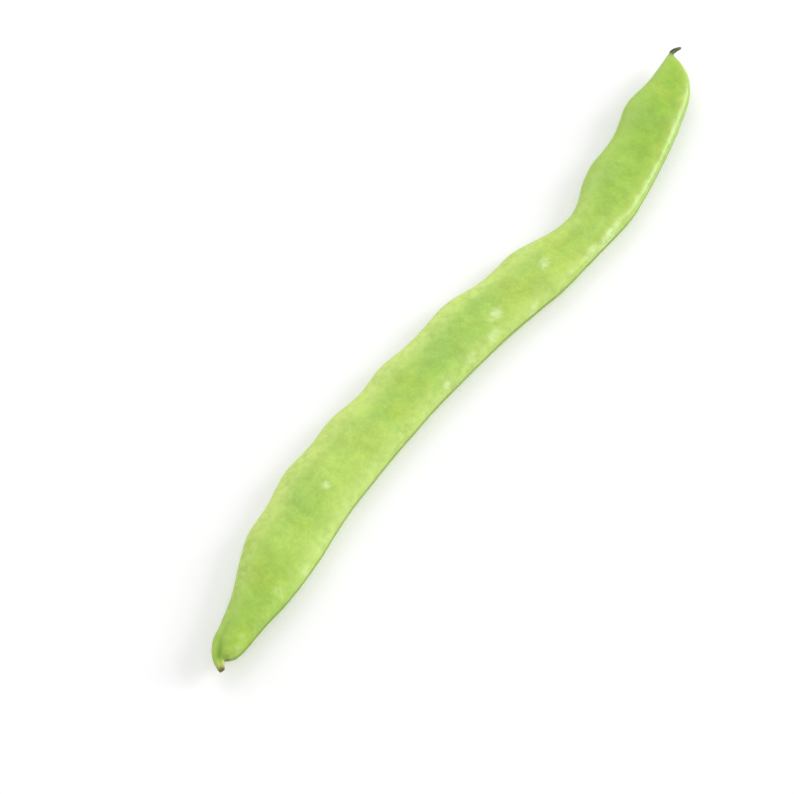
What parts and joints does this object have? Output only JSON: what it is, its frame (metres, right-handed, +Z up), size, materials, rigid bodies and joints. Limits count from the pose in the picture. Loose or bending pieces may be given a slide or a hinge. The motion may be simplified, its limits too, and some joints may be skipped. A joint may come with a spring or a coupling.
{
  "type": "flat green bean pod",
  "caption": "Long flat green bean pod with a seam along each edge, soft swellings over the seeds, a stub of stalk and a hooked beak, lying on a broad side.",
  "frame": {"origin": "middle of the pod's footprint, on the surface that it lies on", "axes": "+X along the pod from the stub of its stalk to its beak, +Y across it towards the seed seam, +Z up out of the upper broad side"},
  "size_m": [0.2388, 0.0368, 0.0083],
  "materials": {
    "pod_skin": "satin"
  },
  "bodies": {
    "root": {"bean_pod": "pod_skin"}
  },
  "joints": []
}
